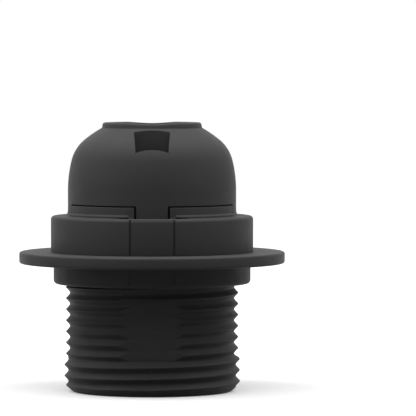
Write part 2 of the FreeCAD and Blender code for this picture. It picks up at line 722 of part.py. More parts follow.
def contact_block():
    base = disc(BLOCK_RADIUS, SLEEVE_HIGH, BLOCK_TOP)
    barrier = brick(
        (-BARRIER_THICKNESS / 2, BARRIER_THICKNESS / 2),
        (-BARRIER_LENGTH / 2, BARRIER_LENGTH / 2),
        (BLOCK_TOP - OVERLAP, BLOCK_TOP + BARRIER_HEIGHT),
    )
    solid = base.fuse([barrier] + front_and_back(terminal_seat()))
    hole_low = SLEEVE_HIGH - OVERLAP
    hole_high = BLOCK_TOP + OVERLAP
    tools = [
        contact_relief((-CENTRE_NOSE_REACH - SEAT_GAP, CENTRE_FOOT_END - RELIEF_LEDGE)),
        contact_relief((-SIDE_LEG_RADIUS - RELIEF_LEDGE, -SIDE_FOOT_END - RELIEF_LEDGE)),
    ]
    tools += front_and_back(disc(RIVET_RADIUS + RUNNING_FIT, hole_low, hole_high, (TERMINAL_OFFSET, 0)))
    tools += front_and_back(disc(FIXING_SHANK_RADIUS + SEAT_GAP, hole_low, hole_high, (0, -FIXING_OFFSET)))
    return solid.cut(tools).removeSplitter()


def slotted_screw(centre, tip, seat, shank_radius, head_radius, head_height):
    """Cheese-head screw that stands upright, with a slot along Y."""
    top = seat + head_height
    slot_x = (centre[0] - SLOT_WIDTH / 2, centre[0] + SLOT_WIDTH / 2)
    slot = brick(slot_x, (-BEYOND, BEYOND), (top - SLOT_DEPTH, top + OVERLAP))
    screw = disc(shank_radius, tip, seat, centre).fuse(disc(head_radius, seat, top, centre))
    return screw.cut(slot).removeSplitter()


def fixing_screw():
    """Screw that holds the contact block down, at the front."""
    tip = BLOCK_TOP - FIXING_SHANK_LENGTH
    centre = (0, -FIXING_OFFSET)
    return slotted_screw(
        centre, tip, BLOCK_TOP, FIXING_SHANK_RADIUS, FIXING_HEAD_RADIUS, FIXING_HEAD_HEIGHT
    )


# ---- terminals and contacts ---------------------------------------------------------

def terminal():
    """Brass pillar terminal, at +X."""
    body = terminal_box(0, BLOCK_TOP, TERMINAL_TOP)
    wire_hole = Part.makeCylinder(
        WIRE_HOLE_RADIUS,
        2 * BEYOND,
        Vector(TERMINAL_OFFSET, -BEYOND, WIRE_HOLE_CENTRE),
        Vector(0, 1, 0),
    )
    centre = (TERMINAL_OFFSET, 0)
    screw_hole = disc(SCREW_RADIUS + RUNNING_FIT, WIRE_HOLE_CENTRE, TERMINAL_TOP + OVERLAP, centre)
    rivet_high = BLOCK_TOP + RIVET_ENTRY + RUNNING_FIT
    rivet_hole = disc(RIVET_RADIUS + RUNNING_FIT, BLOCK_TOP - OVERLAP, rivet_high, centre)
    return body.cut([wire_hole, screw_hole, rivet_hole]).removeSplitter()


def terminal_screw():
    """Clamping screw of one terminal, at +X."""
    seat = TERMINAL_TOP + SCREW_STAND
    centre = (TERMINAL_OFFSET, 0)
    return slotted_screw(
        centre, seat - SCREW_LENGTH, seat, SCREW_RADIUS, SCREW_HEAD_RADIUS, SCREW_HEAD_HEIGHT
    )


def contact_rivet():
    """Rivet that joins a contact's foot to its terminal, at +X."""
    centre = (TERMINAL_OFFSET, 0)
    head = disc(RIVET_HEAD_RADIUS, FOOT_LOW - RIVET_HEAD_HEIGHT, FOOT_LOW, centre)
    shank = disc(RIVET_RADIUS, FOOT_LOW - OVERLAP, BLOCK_TOP + RIVET_ENTRY, centre)
    return head.fuse(shank).removeSplitter()


def foot_hole(x):
    """Hole in a contact's foot, round its rivet."""
    radius = RIVET_RADIUS + CONTACT_HOLE_GAP
    return disc(radius, FOOT_LOW - OVERLAP, FOOT_TOP + OVERLAP, (x, 0))


def centre_contact():
    """Sprung strip that presses on the lamp's tip."""
    middle = FOOT_TOP - CONTACT_THICKNESS / 2
    nose = middle - CENTRE_NOSE_DROP
    path = [
        (CENTRE_FOOT_END, middle, 0),
        (CENTRE_BEND, middle, CONTACT_BEND),
        (0, nose, CONTACT_BEND),
        (-CENTRE_NOSE_REACH, nose + CENTRE_NOSE_RISE, 0),
    ]
    strip = bent_strip(path, CONTACT_THICKNESS, CONTACT_WIDTH)
    return strip.cut(foot_hole(TERMINAL_OFFSET)).removeSplitter()


def side_contact():
    """Sprung strip that presses on the side of the lamp's cap."""
    middle = FOOT_TOP - CONTACT_THICKNESS / 2
    knee = middle - SIDE_LEG_LENGTH
    path = [
        (-SIDE_FOOT_END, middle, 0),
        (-SIDE_LEG_RADIUS, middle, CONTACT_BEND),
        (-SIDE_LEG_RADIUS, knee, CONTACT_BEND),
        (-SIDE_LEG_RADIUS + SIDE_NOSE_REACH, knee - SIDE_NOSE_LENGTH, CONTACT_THICKNESS),
        (-SIDE_LEG_RADIUS, knee - 2 * SIDE_NOSE_LENGTH, 0),
    ]
    strip = bent_strip(path, CONTACT_THICKNESS, CONTACT_WIDTH)
    return strip.cut(foot_hole(-TERMINAL_OFFSET)).removeSplitter()


# ---- export -------------------------------------------------------------------------

def main():
    os.makedirs("parts", exist_ok=True)
    pieces = {
        "threaded_skirt": threaded_skirt(),
        "shade_ring": shade_ring(),
        "dome_cap": dome_cap(),
        "contact_block": contact_block(),
        "front_fixing_screw": fixing_screw(),
        "rear_fixing_screw": half_turned(fixing_screw()),
        "live_terminal": terminal(),
        "neutral_terminal": half_turned(terminal()),
        "live_terminal_screw": terminal_screw(),
        "neutral_terminal_screw": half_turned(terminal_screw()),
        "centre_contact_rivet": contact_rivet(),
        "side_contact_rivet": half_turned(contact_rivet()),
        "centre_contact": centre_contact(),
        "side_contact": side_contact(),
    }
    for name, shape in pieces.items():
        solids = shape.Solids
        print(name, "solids", len(solids), "valid", shape.isValid(), "volume", round(shape.Volume, 2))
        exported = solids[0] if len(solids) == 1 else shape
        exported.exportStep("parts/" + name + ".step")


main()
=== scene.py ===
import math

import bmesh
import bpy
from mathutils import Matrix, Vector


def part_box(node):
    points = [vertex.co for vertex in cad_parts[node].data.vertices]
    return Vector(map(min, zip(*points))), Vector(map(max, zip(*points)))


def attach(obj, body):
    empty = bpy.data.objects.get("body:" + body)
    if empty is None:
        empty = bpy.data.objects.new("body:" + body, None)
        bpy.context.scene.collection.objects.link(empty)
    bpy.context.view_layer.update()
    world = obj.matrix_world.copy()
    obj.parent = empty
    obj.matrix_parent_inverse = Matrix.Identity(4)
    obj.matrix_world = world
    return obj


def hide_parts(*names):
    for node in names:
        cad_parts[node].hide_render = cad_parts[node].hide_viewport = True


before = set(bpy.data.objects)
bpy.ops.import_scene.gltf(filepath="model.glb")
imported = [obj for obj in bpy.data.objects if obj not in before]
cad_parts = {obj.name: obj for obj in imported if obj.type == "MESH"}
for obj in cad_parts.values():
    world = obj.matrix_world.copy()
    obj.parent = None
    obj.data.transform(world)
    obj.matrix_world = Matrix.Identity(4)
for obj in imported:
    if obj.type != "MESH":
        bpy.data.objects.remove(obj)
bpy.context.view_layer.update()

# ---- sizes in millimetres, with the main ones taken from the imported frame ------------

MM = 0.001
SEGMENTS = 192
WELD = 0.0005
OVERLAP = 0.2  # how far added parts sink into the piece
BEYOND = 1.0  # how far cutters reach past the piece


def in_mm(node):
    """Lowest and highest corner of a CAD node in millimetres."""
    low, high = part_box(node)
    return Vector(low) / MM, Vector(high) / MM


skirt_high = in_mm("threaded_skirt")[1]
cap_low, cap_high = in_mm("dome_cap")
ring_low, ring_high = in_mm("shade_ring")
block_low, block_high = in_mm("contact_block")

RING_RADIUS = ring_high.x
RING_LOW = ring_low.z
RING_TOP = ring_high.z
FLANGE_THICKNESS = 2.6
RING_HUB_RADIUS = 22.25
RING_BORE = 20.15
RING_THREAD_DEPTH = 0.5

COLLAR_RADIUS = skirt_high.x
COLLAR_WALL = 1.8
COLLAR_TOP = RING_TOP + 8.1
COLLAR_ROOF = COLLAR_TOP - COLLAR_WALL
COLLAR_CAVITY = 2.05
PANEL_TOP = skirt_high.z
NECK_RADIUS = COLLAR_RADIUS - COLLAR_WALL - COLLAR_CAVITY
NECK_BORE = NECK_RADIUS - 1.9
GROOVE_OFFSET = 4.9
GROOVE_WIDTH = 0.42
GROOVE_DEPTH = 0.5
RING_GROOVE_DEPTH = 0.12
PANEL_RECESS = 0.2
LIP_RADIUS = NECK_RADIUS + 0.4
LIP_TOP = COLLAR_TOP + 0.45
LIP_BEVEL = 0.35
NOTCH_MARGIN = 0.1
SLOT_HALF = 3.95
SLOT_INNER = NECK_BORE - 1.5
SLOT_CLEARANCE = 0.12
BAR_START = SLOT_HALF - 0.3
BAR_REACH = SLOT_HALF + 1.3
BAR_RADIUS = LIP_RADIUS - 0.02
BAR_TOP = PANEL_TOP - 0.12
SLIT_REACH = BAR_REACH + 3.1
SLIT_HEIGHT = 0.35
SLIT_DEPTH = 1.4
STIFFENER_COUNT = 6
STIFFENER_HALF = 0.6
STIFFENER_LOW = COLLAR_ROOF - 4.5

RIM_RADIUS = 18.0
BARREL_BORE = 16.7
THREAD_ROOT = 18.6
THREAD_DEPTH = 0.9
LEAD_STEP = 0.35
LEAD_HEIGHT = 8.0
LEAD_RAMP = 0.6
THREAD_WELD = 0.002
THREAD_PITCH = 2.5
THREAD_PHASE = -0.3
FLAT_DISTANCE = 18.0
FLAT_LOW = 7.9
FLAT_HIGH = 21.9

SLEEVE_BORE = 12.2
SLEEVE_RADIUS = 14.6
SLEEVE_LOW = 6.0
SLEEVE_BORE_TOP = 22.0
SLEEVE_TOP = block_low.z
WEB_LOW = SLEEVE_TOP - 2.0
LAMP_PITCH = 3.63
LAMP_DEPTH = 1.05
FIXING_OFFSET = 14.8
FIXING_HOLE = 0.95
BOSS_RADIUS = 2.3
BOSS_LOW = SLEEVE_TOP - 12.0
HOLE_LOW = SLEEVE_TOP - 8.3
STRIP_WINDOW = (-15.05, -11.0, -3.6, 3.6)  # from x to x, from y to y
STRIP_WINDOW_LOW = 14.9

CAP_RADIUS = NECK_RADIUS
CAP_BORE = CAP_RADIUS - 1.8
CAP_EDGE = PANEL_TOP + 0.3
DOME_START = CAP_EDGE + 3.0
DOME_BANDS = [(27.8, 0.0, 14.0), (8.7, 14.0, 50.3), (26.5, 50.3, 60.8)]  # radius, from and to angle
CAP_TOP = cap_high.z
TONGUE_LOW = cap_low.z
BARB_TIP = -cap_low.y
TOP_RIM_RADIUS = 11.1
TOP_RECESS_RADIUS = 8.6
TOP_RIM_HEIGHT = 1.1
RECESS_FLOOR = CAP_TOP - 0.8
ENTRY_BORE = 4.5
ENTRY_PITCH = 1.0
ENTRY_THREAD_DEPTH = 0.5
ENTRY_CHAMFER = 0.4
ENTRY_TUBE_RADIUS = 7.0
ENTRY_LOW = RECESS_FLOOR - 10.0
LEG_EDGE_ANGLE = 72.0
LEG_FLARE = 0.4
LEG_FLARE_STEPS = (0.0, 0.2, 0.45, 0.75, 1.1, 1.5, 2.0)
LEG_FLARE_TOP = COLLAR_TOP + LEG_FLARE_STEPS[-1]
SLOT_LOW = TONGUE_LOW - 0.3
BARB_LOW = TONGUE_LOW + 0.2
BARB_HIGH = BARB_LOW + 1.9
BARB_HALF = 3.0
BACKING_OUTER = 16.07
BACKING_INNER = 15.07
BACKING_HALF = SLOT_HALF + 1.0
BACKING_TOP = CAP_EDGE + 2.0
RIB_HALF = 0.4
SPIGOT_CLEARANCE = 0.15
SPIGOT_WALL = 0.6
SPIGOT_LOW = block_high.z + 0.4
SPIGOT_HIGH = CAP_EDGE + 1.2
SADDLE_HALF = 6.2
SADDLE_DEPTH = 0.33
TONGUE_HALF = 3.55
POCKET_INNER = 12.0
POCKET_OUTER = 17.0
POCKET_INNER_HALF = 4.05
POCKET_OUTER_HALF = 3.65
POCKET_WALL = 1.2
POCKET_FLOOR = CAP_TOP - 9.2
DOME_MASS_LOW = DOME_START - 1.4


# ---- outlines ------------------------------------------------------------------------

def softened(corners, steps=5):
    """Points of an open outline whose (x, z, rounding) corners are rounded by arcs."""
    points = []
    for index, (x, z, rounding) in enumerate(corners):
        corner = Vector((x, z))
        if rounding <= 0 or index in (0, len(corners) - 1):
            points.append(corner)
            continue
        back = (Vector(corners[index - 1][:2]) - corner).normalized()
        ahead = (Vector(corners[index + 1][:2]) - corner).normalized()
        half = back.angle(ahead) / 2
        start = corner + back * (rounding / math.tan(half))
        end = corner + ahead * (rounding / math.tan(half))
        centre = corner + (back + ahead).normalized() * (rounding / math.sin(half))
        sweep = math.pi - 2 * half
        for step in range(steps + 1):
            along = step / steps
            first = math.sin((1 - along) * sweep) / math.sin(sweep)
            last = math.sin(along * sweep) / math.sin(sweep)
            points.append(centre + (start - centre) * first + (end - centre) * last)
    return points


def dome_arcs(inset, steps=14):
    """The dome's tangent arcs, by radius and angles, from its straight wall to its top rim."""
    radius_before = DOME_BANDS[0][0]
    centre = Vector((CAP_RADIUS - radius_before, DOME_START))
    points = []
    for radius, start, end in DOME_BANDS:
        turn = math.radians(start)
        centre = centre + (radius_before - radius) * Vector((math.cos(turn), math.sin(turn)))
        radius_before = radius
        for step in range(steps + 1):
            angle = math.radians(start + (end - start) * step / steps)
            points.append(centre + (radius - inset) * Vector((math.cos(angle), math.sin(angle))))
    return points


def polar(radius, degrees):
    """Plan point at an angle counted from the front towards +X."""
    angle = math.radians(degrees)
    return radius * math.sin(angle), -radius * math.cos(angle)


def arc_plan(radius, start, end, step=1.5):
    """Plan points along an arc between two angles from the front."""
    count = max(2, int(abs(end - start) / step))
    return [polar(radius, start + (end - start) * index / count) for index in range(count + 1)]


def sector_plan(inner, outer, start, end):
    """Plan outline of a ring's sector."""
    return arc_plan(outer, start, end) + arc_plan(inner, end, start)


def circle_plan(radius, centre_y, count=24):
    """Plan outline of a round hole on the front-back line."""
    turns = [2 * math.pi * index / count for index in range(count)]
    return [(radius * math.cos(turn), centre_y + radius * math.sin(turn)) for turn in turns]


def rectangle(x_low, x_high, y_low, y_high):
    """Outline of a rectangle."""
    return [(x_low, y_low), (x_high, y_low), (x_high, y_high), (x_low, y_high)]


def turned_plan(plan):
    """The same plan outline half a turn round the axis."""
    return [(-x, -y) for x, y in plan]


def swung_plan(plan, turn):
    """The same plan outline swung round the axis by an angle in radians."""
    cosine, sine = math.cos(turn), math.sin(turn)
    return [(x * cosine - y * sine, x * sine + y * cosine) for x, y in plan]


# ---- meshes --------------------------------------------------------------------------

def mesh_object(name, verts, faces):
    """New object at the origin; its mesh stays in millimetres until to_metres."""
    mesh = bpy.data.meshes.new(name)
    mesh.from_pydata(verts, [], faces)
    made = bpy.data.objects.new(name, mesh)
    bpy.context.scene.collection.objects.link(made)
    return made


def to_metres(obj):
    """Scales a finished mesh from millimetres to metres."""
    obj.data.transform(Matrix.Scale(MM, 4))


def lathe_strip(name, outline):
    """Surface that an open outline of (radius, height) points sweeps round the axis."""
    verts = []
    for radius, height in outline:
        for index in range(SEGMENTS):
            angle = 2 * math.pi * index / SEGMENTS
            verts.append((radius * math.cos(angle), radius * math.sin(angle), height))
    faces = []
    for row in range(len(outline) - 1):
        for index in range(SEGMENTS):
            after = (index + 1) % SEGMENTS
            low = row * SEGMENTS
            high = low + SEGMENTS
            faces.append((low + index, low + after, high + after, high + index))
    return mesh_object(name, verts, faces)


def slab(name, outline, offset):
    """Closed prism from an outline of points, carried along by an offset."""
    count = len(outline)
    low = [Vector(point) for point in outline]
    verts = low + [point + Vector(offset) for point in low]
    faces = [tuple(range(count))[::-1], tuple(range(count, 2 * count))]
    for index in range(count):
        after = (index + 1) % count
        faces.append((index, after, count + after, count + index))
    made = mesh_object(name, verts, faces)
    tidy(made)
    return made


def prism(name, plan, low, high):
    """Closed upright prism on a plan outline."""
    return slab(name, [(x, y, low) for x, y in plan], (0, 0, high - low))


def cross_slab(name, half, outline):
    """Closed prism across the front, from an outline of (y, z) points."""
    return slab(name, [(-half, y, z) for y, z in outline], (2 * half, 0, 0))


def tidy(obj, weld=WELD):
    """Welds doubles and turns the faces of a closed mesh outwards."""
    work = bmesh.new()
    work.from_mesh(obj.data)
    bmesh.ops.remove_doubles(work, verts=work.verts, dist=weld)
    bmesh.ops.recalc_face_normals(work, faces=work.faces)
    work.to_mesh(obj.data)
    work.free()
    obj.data.update()


def drop(obj):
    """Deletes an object with its mesh."""
    mesh = obj.data
    bpy.data.objects.remove(obj)
    bpy.data.meshes.remove(mesh)


def joined(name, parts):
    """One welded object from several."""
    work = bmesh.new()
    for part in parts:
        work.from_mesh(part.data)
        drop(part)
    mesh = bpy.data.meshes.new(name)
    work.to_mesh(mesh)
    work.free()
    made = bpy.data.objects.new(name, mesh)
    bpy.context.scene.collection.objects.link(made)
    tidy(made)
    return made


def settled(obj):
    """Replaces an object's mesh by what its modifiers make of it."""
    graph = bpy.context.evaluated_depsgraph_get()
    mesh = bpy.data.meshes.new_from_object(obj.evaluated_get(graph))
    before = obj.data
    obj.modifiers.clear()
    obj.data = mesh
    bpy.data.meshes.remove(before)


def boolean(obj, tool, operation):
    """Exact boolean of obj with a tool, which is deleted."""
    modifier = obj.modifiers.new("boolean", "BOOLEAN")
    modifier.operation = operation
    modifier.solver = "EXACT"
    modifier.object = tool
    bpy.context.view_layer.update()
    settled(obj)
    drop(tool)


def cut_all(obj, tools):
    """Cuts closed tools out of an object, one after the other."""
    for tool in tools:
        boolean(obj, tool, "DIFFERENCE")


def smooth(obj, angle=32.0):
    """Smooth shading except across edges sharper than the angle."""
    work = bmesh.new()
    work.from_mesh(obj.data)
    limit = math.radians(angle)
    for edge in work.edges:
        edge.smooth = len(edge.link_faces) == 2 and edge.calc_face_angle(0) < limit
    for face in work.faces:
        face.smooth = True
    work.to_mesh(obj.data)
    work.free()


# ---- node trees ----------------------------------------------------------------------

class Recipe:
    """Short spellings for putting nodes in a tree."""

    def __init__(self, tree):
        self.tree = tree

    def link(self, socket, node, name):
        """Links a socket to a named input of a node."""
        self.tree.links.new(socket, node.inputs[name])

    def put(self, kind, inputs=None, **settings):
        """Adds a node, sets its properties, and fills or links its inputs."""
        node = self.tree.nodes.new(kind)
        for name, value in settings.items():
            setattr(node, name, value)
        for name, value in (inputs or {}).items():
            if isinstance(value, bpy.types.NodeSocket):
                self.link(value, node, name)
            else:
                node.inputs[name].default_value = value
        return node

    def calc(self, operation, first, second=0.0):
        """Output of a Math node."""
        return self.put("ShaderNodeMath", {0: first, 1: second}, operation=operation).outputs[0]

    def ramp_between(self, value, start, end, to_start=0.0, to_end=1.0, kind="SMOOTHSTEP"):
        """Eased change of a value between two limits."""
        node = self.put(
            "ShaderNodeMapRange",
            {"Value": value, "From Min": start, "From Max": end, "To Min": to_start, "To Max": to_end},
            interpolation_type=kind,
        )
        return node.outputs[0]


def cleared_recipe(owner):
    """Recipe for the emptied node tree of a material or a world."""
    owner.use_nodes = True
    owner.node_tree.nodes.clear()
    return Recipe(owner.node_tree)


THREAD_INPUTS = {
    "Segments": ("NodeSocketInt", SEGMENTS),
    "Rows Per Turn": ("NodeSocketInt", 12),
    "Low": ("NodeSocketFloat", 0.0),
    "High": ("NodeSocketFloat", 1.0),
    "Pitch": ("NodeSocketFloat", 1.0),
    "Phase": ("NodeSocketFloat", 0.0),
    "Base Radius": ("NodeSocketFloat", 1.0),
    "Depth": ("NodeSocketFloat", 0.1),
    "Lead Step": ("NodeSocketFloat", 0.0),
    "Lead Height": ("NodeSocketFloat", 0.0),
    "Crest Share": ("NodeSocketFloat", 0.2),
    "Root Share": ("NodeSocketFloat", 0.8),
    "Rim Radius": ("NodeSocketFloat", 100.0),
    "Rim Slope": ("NodeSocketFloat", 0.0),
    "Fade Low": ("NodeSocketFloat", 0.001),
    "Fade High": ("NodeSocketFloat", 0.001),
    "Sharpness": ("NodeSocketFloat", 1.0),
    "Material": ("NodeSocketMaterial", None),
}


def thread_tree():
    """Right-handed thread as a welded surface whose rows follow the helix."""
    tree = bpy.data.node_groups.new("helical_thread", "GeometryNodeTree")
    tree.interface.new_socket("Geometry", in_out="OUTPUT", socket_type="NodeSocketGeometry")
    for name, (kind, value) in THREAD_INPUTS.items():
        socket = tree.interface.new_socket(name, in_out="INPUT", socket_type=kind)
        if value is not None:
            socket.default_value = value
    make = Recipe(tree)
    given = make.put("NodeGroupInput").outputs
    calc = make.calc

    # A grid with its columns round the axis and its rows a share of the pitch apart.
    columns = calc("ADD", given["Segments"], 1.0)
    step = calc("DIVIDE", given["Pitch"], given["Rows Per Turn"])
    reach = calc("ADD", calc("SUBTRACT", given["High"], given["Low"]), given["Pitch"])
    steps = calc("FLOOR", calc("ADD", calc("DIVIDE", reach, step), 1.5))
    grid = make.put(
        "GeometryNodeMeshGrid",
        {"Size X": 1.0, "Size Y": 1.0, "Vertices X": columns, "Vertices Y": calc("ADD", steps, 1.0)},
    )
    place = make.put("ShaderNodeSeparateXYZ", {0: make.put("GeometryNodeInputPosition").outputs[0]})
    turn = calc("ADD", place.outputs[0], 0.5)
    along = calc("ADD", place.outputs[1], 0.5)
    angle = calc("MULTIPLY", turn, 2 * math.pi)

    # Each row leans by one pitch a turn, and what runs over is pressed flat at Low and High.
    climb = calc("MULTIPLY", calc("MULTIPLY", along, steps), step)
    start = calc("SUBTRACT", given["Low"], given["Pitch"])
    lean = calc("MULTIPLY", turn, given["Pitch"])
    row_height = calc("ADD", start, climb)
    raw_height = calc("ADD", row_height, lean)
    height = calc("MINIMUM", calc("MAXIMUM", raw_height, given["Low"]), given["High"])

    # The ridge falls from its crest to its root, with the distance from the crest in half pitches.
    share = calc("FRACT", calc("DIVIDE", calc("SUBTRACT", row_height, given["Phase"]), given["Pitch"]))
    from_crest = calc("MULTIPLY", calc("ABSOLUTE", calc("SUBTRACT", share, 0.5)), 2.0)
    from_crest = calc("SUBTRACT", 1.0, from_crest)
    flank = make.ramp_between(from_crest, given["Crest Share"], given["Root Share"], 1.0, 0.0, "LINEAR")
    ridge = calc("POWER", flank, given["Sharpness"])

    # The lower turns stand on a wider lead, the ridge fades at both ends, and the rim's cone cuts it down.
    lead_start = calc("SUBTRACT", given["Lead Height"], LEAD_RAMP)
    lead = make.ramp_between(height, lead_start, given["Lead Height"], 1.0, 0.0)
    base = calc("ADD", given["Base Radius"], calc("MULTIPLY", lead, given["Lead Step"]))
    low_fade = make.ramp_between(raw_height, given["Low"], calc("ADD", given["Low"], given["Fade Low"]))
    high_fade = make.ramp_between(
        raw_height, calc("SUBTRACT", given["High"], given["Fade High"]), given["High"], 1.0, 0.0
    )
    ridge = calc("MULTIPLY", ridge, calc("MULTIPLY", low_fade, high_fade))
    radius = calc("ADD", base, calc("MULTIPLY", ridge, given["Depth"]))
    rise = calc("MULTIPLY", calc("SUBTRACT", height, given["Low"]), given["Rim Slope"])
    radius = calc("MINIMUM", radius, calc("ADD", given["Rim Radius"], rise))

    x = calc("MULTIPLY", radius, calc("COSINE", angle))
    y = calc("MULTIPLY", radius, calc("SINE", angle))
    position = make.put("ShaderNodeCombineXYZ", {0: x, 1: y, 2: height}).outputs[0]

    moved = make.put("GeometryNodeSetPosition", {"Geometry": grid.outputs["Mesh"], "Position": position})
    welded = make.put("GeometryNodeMergeByDistance", {"Geometry": moved.outputs[0], "Distance": THREAD_WELD})
    real = make.put("GeometryNodeRealizeInstances", {"Geometry": welded.outputs[0]})
    coated = make.put(
        "GeometryNodeSetMaterial", {"Geometry": real.outputs[0], "Material": given["Material"]}
    )
    make.put("NodeGroupOutput", {"Geometry": coated.outputs[0]})
    return tree


def thread_skin(name, tree, material, **sizes):
    """Plain mesh of one thread, from the shared tree and its sizes in millimetres."""
    made = mesh_object(name, [], [])
    modifier = made.modifiers.new("thread", "NODES")
    modifier.node_group = tree
    identifiers = {item.name: item.identifier for item in tree.interface.items_tree if item.in_out == "INPUT"}
    values = {label.replace("_", " ").title(): value for label, value in sizes.items()}
    values["Material"] = material
    for label, value in values.items():
        modifier[identifiers[label]] = value
    bpy.context.view_layer.update()
    settled(made)
    return made


# ---- materials -----------------------------------------------------------------------

PLASTIC_GLOSS = 0.07
PLASTIC_GRAIN_DEPTH = 0.04
METAL_MARK_DEPTH = 0.02
STAIN_SHARE = 0.72


def new_material(name):
    """Empty node material with its recipe, object coordinates and shader."""
    material = bpy.data.materials.new(name)
    make = cleared_recipe(material)
    coords = make.put("ShaderNodeTexCoord").outputs["Object"]
    shader = make.put("ShaderNodeBsdfPrincipled")
    make.put("ShaderNodeOutputMaterial", {"Surface": shader.outputs[0]})
    return material, make, coords, shader


def noise(make, coords, scale, detail, roughness):
    """Value of a noise texture with its scale per metre."""
    node = make.put(
        "ShaderNodeTexNoise",
        {"Vector": coords, "Scale": scale, "Detail": detail, "Roughness": roughness},
    )
    return node.outputs[0]


def tint_between(make, shader, factor, first, second):
    """Sets a shader's base colour to a mix of two colours."""
    mix = make.put("ShaderNodeMix", {"Factor": factor}, data_type="RGBA")
    ends = [socket for socket in mix.inputs if socket.type == "RGBA"]
    ends[0].default_value = (*first, 1.0)
    ends[1].default_value = (*second, 1.0)
    mixed = [socket for socket in mix.outputs if socket.type == "RGBA"][0]
    make.link(mixed, shader, "Base Color")


def uneven_gloss(make, shader, patches, rough_low, rough_high):
    """Sets a shader's roughness by a patchy value."""
    rough = make.ramp_between(patches, 0.3, 0.7, rough_low, rough_high, "LINEAR")
    make.link(rough, shader, "Roughness")


def fine_relief(make, shader, height, strength, depth):
    """Gives a shader's surface a relief of a depth in millimetres."""
    bump = make.put("ShaderNodeBump", {"Height": height, "Strength": strength, "Distance": depth * MM})
    make.link(bump.outputs[0], shader, "Normal")


def moulded_plastic(name, tint, dark_share, rough_low, rough_high, grain):
    """Moulded thermoplastic: cloudy tone, uneven gloss and a fine spark-eroded grain."""
    material, make, coords, shader = new_material(name)
    cloud = noise(make, coords, scale=110.0, detail=4.0, roughness=0.6)
    tone = make.ramp_between(cloud, 0.35, 0.65, dark_share, 1.0)
    tint_between(make, shader, tone, [part * dark_share for part in tint], tint)
    patches = noise(make, coords, scale=260.0, detail=5.0, roughness=0.65)
    uneven_gloss(make, shader, patches, rough_low, rough_high)
    fine = noise(make, coords, scale=5200.0, detail=2.0, roughness=0.6)
    coarse = noise(make, coords, scale=1700.0, detail=3.0, roughness=0.5)
    height = make.calc("ADD", make.calc("MULTIPLY", fine, 0.6), make.calc("MULTIPLY", coarse, 0.4))
    fine_relief(make, shader, height, grain, PLASTIC_GRAIN_DEPTH)
    shader.inputs["Specular IOR Level"].default_value = PLASTIC_GLOSS
    return material


def turned_metal(name, tint, rough_low, rough_high, scratch):
    """Machined or rolled metal: faint stain, uneven polish and fine tool marks."""
    material, make, coords, shader = new_material(name)
    shader.inputs["Metallic"].default_value = 1.0
    stain = noise(make, coords, scale=420.0, detail=4.0, roughness=0.6)
    tint_between(make, shader, stain, [part * STAIN_SHARE for part in tint], tint)
    patches = noise(make, coords, scale=900.0, detail=4.0, roughness=0.6)
    uneven_gloss(make, shader, patches, rough_low, rough_high)
    stretched = make.put("ShaderNodeMapping", {"Vector": coords, "Scale": (1.0, 0.06, 1.0)}).outputs[0]
    marks = noise(make, stretched, scale=9000.0, detail=2.0, roughness=0.5)
    fine_relief(make, shader, marks, scratch, METAL_MARK_DEPTH)
    return material


BLACK = moulded_plastic(
    "black_moulded", (0.056, 0.056, 0.0565), dark_share=0.9, rough_low=0.52, rough_high=0.62, grain=0.35
)
INSERT = moulded_plastic(
    "insert_moulded", (0.60, 0.58, 0.53), dark_share=0.93, rough_low=0.5, rough_high=0.62, grain=0.3
)
BRASS = turned_metal("machined_brass", (0.78, 0.57, 0.27), rough_low=0.24, rough_high=0.38, scratch=0.3)
BRONZE = turned_metal("rolled_bronze", (0.74, 0.50, 0.29), rough_low=0.28, rough_high=0.42, scratch=0.25)
STEEL = turned_metal("plated_steel_finish", (0.70, 0.71, 0.72), rough_low=0.26, rough_high=0.4, scratch=0.3)


# ---- threaded skirt ------------------------------------------------------------------

def skirt_outlines():
    """The two turned stretches of the skirt between its two threads."""
    upper = softened([
        (THREAD_ROOT, RING_TOP, 0),
        (NECK_RADIUS, RING_TOP, 0),
        (NECK_RADIUS, COLLAR_ROOF, 0.3),
        (COLLAR_RADIUS - COLLAR_WALL, COLLAR_ROOF, 0.3),
        (COLLAR_RADIUS - COLLAR_WALL, RING_TOP, 0.1),
        (COLLAR_RADIUS, RING_TOP, 0.15),
        (COLLAR_RADIUS, COLLAR_TOP, 0.75),
        (LIP_RADIUS, COLLAR_TOP, 0.08),
        (LIP_RADIUS, LIP_TOP, 0.12),
        (NECK_RADIUS, LIP_TOP + LIP_BEVEL, 0.12),
        (NECK_RADIUS, PANEL_TOP, 0.2),
        (NECK_BORE, PANEL_TOP, 0.15),
        (NECK_BORE, RING_TOP, 0),
        (BARREL_BORE, RING_TOP, 0),
        (BARREL_BORE, SLEEVE_TOP, 0),
        (SLEEVE_BORE + LAMP_DEPTH, SLEEVE_TOP, 0.2),
        (SLEEVE_BORE + LAMP_DEPTH, SLEEVE_BORE_TOP, 0),
        (SLEEVE_BORE, SLEEVE_BORE_TOP, 0),
    ])
    lower = softened([
        (SLEEVE_BORE, SLEEVE_LOW, 0),
        (SLEEVE_RADIUS, SLEEVE_LOW, 0.35),
        (SLEEVE_RADIUS, WEB_LOW, 0.4),
        (BARREL_BORE, WEB_LOW, 0.4),
        (BARREL_BORE, 0, 0.25),
        (RIM_RADIUS, 0, 0),
    ])
    return upper, lower


